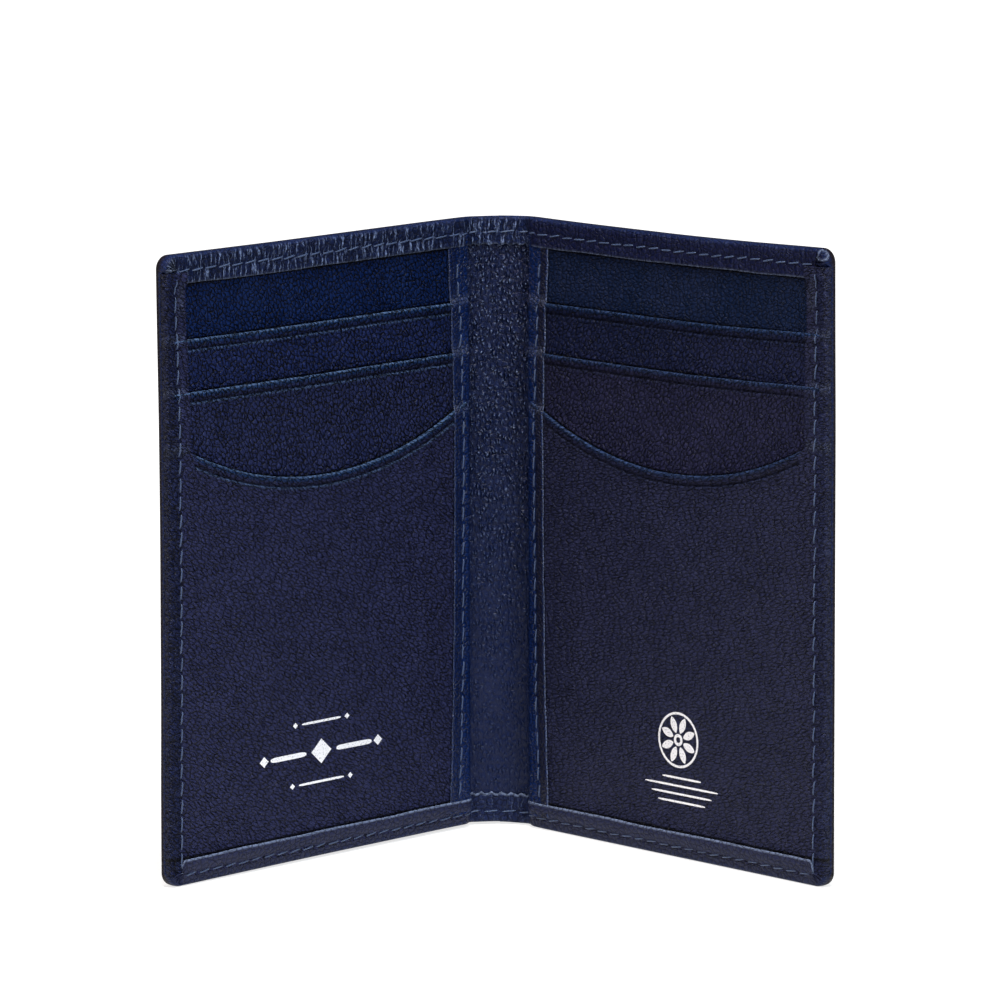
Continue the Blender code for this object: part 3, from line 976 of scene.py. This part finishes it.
def leather(
    name,
    base,
    light,
    *,
    grain=1.1,
    stretch=(0.8, 1.15),
    sway=0.7,
    depth=0.20,
    furrow=0.6,
    dome=0.5,
    bead=0.75,
    creases=None,
    lean=(0.0, 0.0),
    contrast=(1.0, 1.0),
    fade=None,
    right_painted_light=(1.0, 1.0, 1.0),
    gathers=None,
    painted_glints=0.0,
    marks=(),
    shadow=None,
    rough=0.46,
    specular=0.10,
):
    """Grained leather, in millimetres. base and light are its darker and lighter tones.

    stretch, sway, furrow, dome and bead shape the cells of the grain, whose valleys get a painted shade.
    creases holds the long lines' two frequencies, depth and darkness, the darkness being a painted shade.
    lean and contrast differ from the left panel to the right, and right_painted_light, a painted light, multiplies
    the right panel's tone. fade holds the heights and strengths between which the grain grows stronger. A
    mark is (its attribute, a tint, how much of it, its roughness), gathers holds the attribute,
    frequencies, depth, darkness and shine of the pleats, their painted shade and painted highlight, and
    shadow says which heights have a painted shadow line beside them.
    """
    make = Nodes(name)
    flat = make.vector
    x, y = make.split(flat)
    # lively sets how strong the grain's bump and its painted shade are, from the left panel to the right and, with
    # fade, up the height.
    lively = make.range(x, -12.0, 12.0, *contrast)
    if fade:
        lively = make.times(lively, make.range(y, *fade))
    offset = make.vector_math("ADD", make.noise(flat, 0.8, output="Color"), (-0.5, -0.5, -0.5))
    angle = make.range(x, -12.0, 12.0, *lean)
    turned = make.add("ShaderNodeVectorRotate", {"Vector": flat, "Angle": angle}, rotation_type="Z_AXIS")

    def warped(vector, amount, scale):
        moved = make.vector_math("MULTIPLY_ADD", offset, (amount, amount, 0.0), vector)
        return make.vector_math("MULTIPLY", moved, (*scale, 1.0))

    # the cells of the grain
    curled = warped(turned.outputs[0], sway, stretch)
    spots, edges = (make.cells(curled, grain, feature) for feature in ("F1", "DISTANCE_TO_EDGE"))
    fine = make.noise(curled, grain * 3.0, 3.0, 0.62)
    broad = make.noise(flat, 0.11, 3.0, 0.55)
    patch = make.range(make.noise(flat, 0.30), 0.32, 0.66, 0.45, 1.0)
    domes = make.times(make.range(spots, bead, 0.0), dome)
    height = make.plus_times(make.range(edges, 0.0, 0.22), furrow, domes)
    height = make.plus_times(fine, 0.25, make.times(height, patch))
    normal = make.bump(height, make.times(lively, depth * MM))
    # Painted shade in the grain's valleys.
    dark = make.range(edges, 0.0, 0.20, 1.0 - 1.25 * furrow, 1.0)
    if creases:
        across, along_lines, crease_depth, darkness = creases
        lines = make.noise(warped(turned.outputs[0], 0.3, (along_lines, across)), 1.0)
        away = make.gap(lines, 0.5)
        ridge, line = make.range(away, 0.0, 0.20), make.range(away, 0.0, 0.07)
        normal = make.bump(ridge, make.times(lively, crease_depth * MM), normal)
        # Painted shade along the crease lines.
        dark = make.times(dark, make.plus_times(line, darkness, 1.0 - darkness))
    dark = make.plus_times(make.math("SUBTRACT", dark, 1.0), lively, 1.0)

    # the tone, with its gathers, its painted glints and its marks, several of which are painted light or shade
    tone = make.mix(make.range(broad, 0.35, 0.68), base, light)
    # The right panel's tone is multiplied by right_painted_light, a painted light.
    painted_right_light = make.mix(make.range(x, -12.0, 12.0), (1, 1, 1), right_painted_light)
    tone = make.vector_math("MULTIPLY", tone, painted_right_light)
    if gathers:
        mark, scale, amount, darkness, streak = gathers
        gathered = make.mark(mark)
        pleats = make.noise(warped(flat, 0.7, scale), 1.0, 2.0, 0.55)
        normal = make.bump(make.times(make.range(pleats, 0.3, 0.72), gathered), amount * MM, normal)
        # Painted shade in the pleats' hollows.
        hollow_shade = make.times(make.range(pleats, 0.52, 0.36), gathered)
        dark = make.times(dark, make.plus_times(hollow_shade, -darkness, 1.0))
        # Painted highlight streaks on the pleats' tops.
        shine = make.times(make.range(pleats, 0.54, 0.70), gathered)
        tone = make.mix(make.times(shine, streak), tone, STREAK_HIGHLIGHT_TINT)
    # Painted glints on the tops of the grain's cells.
    if painted_glints:
        glint = make.times(make.times(lively, lively), painted_glints)
        glint_spot = make.times(make.range(spots, 0.27, 0.08), glint)
        tone = make.mix(make.times(glint_spot, make.range(fine, 0.45, 0.60)), tone, STREAK_HIGHLIGHT_TINT)
    roughness = make.plus_times(fine, 0.2, rough - 0.1)
    broken = {"scuff": (0.42, 0.62), "lip": (0.36, 0.60, 0.45, 1.0)}
    for mark, tint, amount, mark_rough in marks:
        factor = make.times(make.mark(mark), amount)
        if mark in broken:
            factor = make.times(factor, make.range(fine, *broken[mark]))
        tone = make.mix(factor, tone, tint)
        ends = {0: factor, 2: roughness, 3: mark_rough}
        roughness = make.add("ShaderNodeMix", ends, data_type="FLOAT").outputs[0]
    if shadow:
        distance = near_mouth(make) if shadow == "mouth" else near_heights(make, shadow)
        dark = make.times(dark, make.range(distance, 0.10, 0.42, 0.12, 1.0))
    tone = make.add("ShaderNodeVectorMath", {0: tone, "Scale": dark}, operation="SCALE").outputs[0]
    looks = {"Base Color": tone, "Roughness": roughness, "Normal": normal, "Specular IOR Level": specular}
    return make.finish(looks)


def near_heights(make, heights):
    """Distance from the nearest of some heights, for the dark lines along straight edges."""
    nearest, *others = (make.gap(make.split(make.vector)[1], height) for height in heights)
    for gap in others:
        nearest = make.math("MINIMUM", nearest, gap)
    return nearest


def near_mouth(make):
    """Distance from the front pocket's curved mouth, for the same dark line."""
    x, y = make.split(make.vector)
    across = make.math("SUBTRACT", make.math("ABSOLUTE", x), FOLD_X + MOUTH_MIDDLE)
    up = make.math("SUBTRACT", y, MOUTH_END - MOUTH_DIP + MOUTH_RADIUS)
    square = make.math("ADD", make.times(across, across), make.times(up, up))
    return make.gap(MOUTH_RADIUS, make.math("SQRT", square))


def foil_material():
    make = Nodes("pale_foil")
    wear = make.noise(make.vector, 3.5, 3.0, 0.6)
    tone = make.mix(make.range(wear, 0.30, 0.42), (0.30, 0.32, 0.38), (0.86, 0.87, 0.90))
    normal = make.bump(wear, 0.03 * MM)
    return make.finish({"Base Color": tone, "Metallic": 0.25, "Roughness": 0.42, "Normal": normal})


def thread_material():
    make = Nodes("sewing_thread")
    inputs = {"Vector": make.vector, "Scale": 1.1, "Distortion": 0.6}
    twist = make.add("ShaderNodeTexWave", inputs, bands_direction="DIAGONAL").outputs["Fac"]
    tone = make.mix(twist, (0.010, 0.024, 0.070), (0.045, 0.085, 0.190))
    normal = make.bump(twist, 0.03 * MM)
    return make.finish({"Base Color": tone, "Roughness": 0.5, "Sheen Weight": 0.15, "Normal": normal})


def board_material():
    make = Nodes("stiffener_board", vector="object")
    inputs = {"Vector": make.vector, "Scale": 900.0, "Detail": 4.0}
    fibre = make.add("ShaderNodeTexNoise", inputs).outputs["Fac"]
    tone = make.mix(fibre, (0.22, 0.19, 0.15), (0.36, 0.33, 0.27))
    return make.finish({"Base Color": tone, "Roughness": 0.9, "Normal": make.bump(fibre, 0.05 * MM)})


# ------ stage, light and camera


def stage_floor():
    """A white floor. It glows round the holder and behind it, and is greyer in front and at the sides."""
    make = Nodes("studio_floor", vector="object")
    x, y = make.split(make.vector)
    behind = make.math("MAXIMUM", y, 0.0)
    aside = make.plus_times(behind, -0.10, make.math("ABSOLUTE", x))
    reach = make.math("MAXIMUM", aside, make.times(y, -0.7))
    glow = make.times(make.range(reach, 0.14, 0.50, 1.0, 0.22), make.range(behind, 0.0, 0.7, 0.72, 1.02))
    looks = {"Emission Strength": glow, "Emission Color": color(1.0, 1.0, 1.0)}
    looks |= {"Base Color": color(0.36, 0.36, 0.36), "Roughness": 0.9, "Specular IOR Level": 0.1}
    mesh = bpy.data.meshes.new("studio_floor")
    corners = [(x * FLOOR_REACH, y * FLOOR_REACH, 0) for x, y in ((-1, -1), (1, -1), (1, 1), (-1, 1))]
    mesh.from_pydata(corners, [], [(0, 1, 2, 3)])
    mesh.materials.append(make.finish(looks))
    floor = link("studio_floor", mesh)
    floor.location.z = -0.00005


def area_light(name, location, size, watts, tint=(1.0, 1.0, 1.0)):
    """A rectangular light in metres, turned towards the holder."""
    data = bpy.data.lights.new(name, "AREA")
    data.shape = "RECTANGLE"
    data.size, data.size_y = size
    data.energy = watts
    data.color = tint
    light = link(name, data)
    light.location = location
    light.rotation_mode = "QUATERNION"
    light.rotation_quaternion = (Vector((0, 0, 0.05)) - Vector(location)).to_track_quat("-Z", "Y")


def studio():
    world = bpy.data.worlds.new("studio")
    world.use_nodes = True
    background = world.node_tree.nodes["Background"].inputs
    background["Color"].default_value = color(1.0, 1.0, 1.0)
    background["Strength"].default_value = 0.10
    bpy.context.scene.world = world
    stage_floor()
    area_light("overhead", (0.0, -0.35, 1.15), (0.6, 0.35), 18)
    area_light("front_right", (0.78, -0.92, 0.95), (0.28, 0.28), 12.0, (0.88, 0.94, 1.0))
    area_light("front_left", (-0.95, -0.75, 0.85), (0.28, 0.28), 7.5, (1.0, 0.76, 0.62))
    bpy.context.scene.view_settings.view_transform = "Standard"


FLOOR_REACH = 6.0
CAMERA_DISTANCE = 1.109
CAMERA_TARGET = Vector((0.0, 0.005558, 0.052))
CAMERA_ELEVATION = radians(9.27)
CAMERA_AZIMUTH = radians(0.51)
CAMERA_PITCH = radians(8.9)
CAMERA_ROLL = radians(-0.14)


def camera():
    data = bpy.data.cameras.new("camera")
    data.sensor_width, data.lens = 36.0, 239.0
    data.shift_x, data.shift_y = 0.002, 0.001
    data.clip_start, data.clip_end = 0.05, 50.0
    about = Matrix.Rotation(CAMERA_AZIMUTH, 4, "Z")
    arm = CAMERA_DISTANCE * Vector((0, -cos(CAMERA_ELEVATION), sin(CAMERA_ELEVATION)))
    look = Matrix.Rotation(pi / 2 - CAMERA_PITCH, 4, "X") @ Matrix.Rotation(CAMERA_ROLL, 4, "Z")
    obj = link("camera", data)
    obj.matrix_world = Matrix.Translation(CAMERA_TARGET + about @ arm) @ about @ look
    bpy.context.scene.camera = obj


# ------ the leathers

RIM_TINT = (0.0075, 0.0045, 0.0060)
# Painted highlight on the lips' beaded edges and crease lines.
LIP_HIGHLIGHT_TINT = (0.075, 0.130, 0.250)
# The raw edges' own pale tint, which some marks also use as a painted highlight.
RAW_EDGE_AND_HIGHLIGHT_TINT = (0.13, 0.165, 0.26)
SCUFF_TINT = (0.06, 0.075, 0.125)
# Painted highlight on the pleats' tops and the lining's glints.
STREAK_HIGHLIGHT_TINT = (0.16, 0.215, 0.37)
BAND_TINT = (0.0065, 0.0290, 0.098)
# Painted shade in the lips' folds and the bindings' valleys.
FOLD_SHADE_TINT = (0.0030, 0.0035, 0.014)
LIP_MARKS = (("band", BAND_TINT, 0.8, 0.34), ("fold", FOLD_SHADE_TINT, 0.7, 0.5), ("lip", LIP_HIGHLIGHT_TINT, 0.95, 0.30))


def cover_leather():
    marks = (
        # low is a painted light on the bottom hem and shade a painted shade on the right's top hem.
        ("low", (0.0135, 0.0165, 0.048), 0.85, 0.5),
        ("shade", (0.0042, 0.0062, 0.034), 0.85, 0.45),
        ("rim", RIM_TINT, 0.95, 0.5),
        ("raw", RAW_EDGE_AND_HIGHLIGHT_TINT, 0.85, 0.6),
    )
    # The pleats get painted shade in their hollows and painted highlight streaks on their tops.
    gathers = ("hem", (2.7, 0.36), 0.36, 0.45, 0.75)
    tones = (0.0040, 0.0105, 0.048), (0.0065, 0.0140, 0.060)
    return leather(
        "cover_leather", *tones, depth=0.18, furrow=0.45, gathers=gathers, marks=marks, specular=0.13
    )


def lining_leather():
    # flecks paints glints on the lining's grain as a painted highlight.
    grain = {"grain": 1.12, "depth": 0.36, "furrow": 0.35, "dome": 0.8, "bead": 0.50, "painted_glints": 0.75}
    lines = {"creases": (1.1, 0.35, 0.14, 0.35), "lean": (1.5, 1.5), "fade": (10.0, 90.0, 0.38, 0.98)}
    tones = (0.0050, 0.0098, 0.0400), (0.0074, 0.0126, 0.0460)
    return leather("lining_leather", *tones, **grain, **lines, rough=0.28, specular=0.14)


def backing_leather():
    grain = {"grain": 1.3, "depth": 0.26, "furrow": 0.72, "contrast": (1.1, 0.8)}
    lines = {"creases": (1.9, 0.70, 0.10, 0.45), "lean": (0.9, -0.1)}
    lines["shadow"] = (LIP_UPPER, HEIGHT - RAW_EDGE_TOP - 0.1)
    tones = (0.0020, 0.0108, 0.060), (0.0038, 0.0148, 0.072)
    # A painted light tint for the right panel.
    tint = (2.2, 1.08, 0.70)
    return leather("backing_leather", *tones, right_painted_light=tint, **grain, **lines, rough=0.42, specular=0.08)


def slot_leather(name, base, light, right_painted_light, shadow):
    grain = {"grain": 1.2, "depth": 0.38, "furrow": 0.68, "contrast": (1.1, 0.9)}
    lines = {"creases": (1.7, 0.75, 0.14, 0.50), "lean": (0.9, -0.8), "shadow": shadow}
    # right_painted_light is a painted light tint for the right panel.
    return leather(name, base, light, right_painted_light=right_painted_light, **grain, **lines, marks=LIP_MARKS)


def upper_leather():
    tones = (0.0066, 0.0144, 0.068), (0.0098, 0.0182, 0.079), (1.06, 0.80, 0.66)
    return slot_leather("slot_upper_leather", *tones, (LIP_MIDDLE,))


def middle_leather():
    tones = (0.0124, 0.0182, 0.067), (0.0158, 0.0222, 0.077), (1.14, 0.87, 0.74)
    return slot_leather("slot_middle_leather", *tones, "mouth")


def pocket_leather():
    grain = {"grain": 1.3, "stretch": (0.52, 1.35), "sway": 0.42, "depth": 0.40, "furrow": 0.60}
    grain |= {"dome": 0.35, "contrast": (1.05, 0.92)}
    lines = {"creases": (1.9, 0.80, 0.20, 0.40), "lean": (0.5, -0.20), "shadow": (RAW_EDGE_BOTTOM + 0.1,)}
    strip = ("strip", (0.0068, 0.0118, 0.049), 0.8, 0.42)
    marks = (*LIP_MARKS, strip, ("scuff", SCUFF_TINT, 0.9, 0.4))
    # The strip's wrinkles get painted shade in their hollows and a faint painted highlight.
    gathers = ("strip", (0.28, 1.5), 0.30, 0.45, 0.10)
    tones = (0.0178, 0.0218, 0.070), (0.0212, 0.0256, 0.079)
    # right_painted_light is a painted light tint for the right panel.
    looks = {"right_painted_light": (0.92, 0.90, 0.80), "gathers": gathers, "marks": marks}
    return leather("pocket_leather", *tones, **grain, **lines, **looks)


def binding_leather():
    # fold is a painted shade; raw is the raw edge's own tint, stronger on the right as painted light.
    marks = (("fold", FOLD_SHADE_TINT, 0.9, 0.5), ("raw", RAW_EDGE_AND_HIGHLIGHT_TINT, 0.5, 0.6), ("scuff", SCUFF_TINT, 0.9, 0.4))
    tones = (0.0025, 0.0105, 0.057), (0.0045, 0.0148, 0.072)
    return leather(
        "binding_leather", *tones, grain=1.4, depth=0.16, marks=marks, rough=0.30, specular=0.22
    )


# ------ build


def build():
    cover, lining, backing = cover_leather(), lining_leather(), backing_leather()
    upper, middle, pockets = upper_leather(), middle_leather(), pocket_leather()
    binding, thread, board = binding_leather(), thread_material(), board_material()
    ornaments(foil_material())
    for half in SIDES:
        board_materials = frame["nodes"][f"board_{half}"].data.materials
        board_materials.clear()
        board_materials.append(board)
        cover_half(half, cover)
        gutter_lining(half, lining)
        pocket_backing(half, backing)
        slot_sheet(half, "slot_upper", LIP_UPPER, 12.0, upper)
        slot_sheet(half, "slot_middle", LIP_MIDDLE, 5.0, middle)
        front_pocket(half, pockets)
        binding_strip(half, binding)
        seams(half, thread)


build()
studio()
camera()
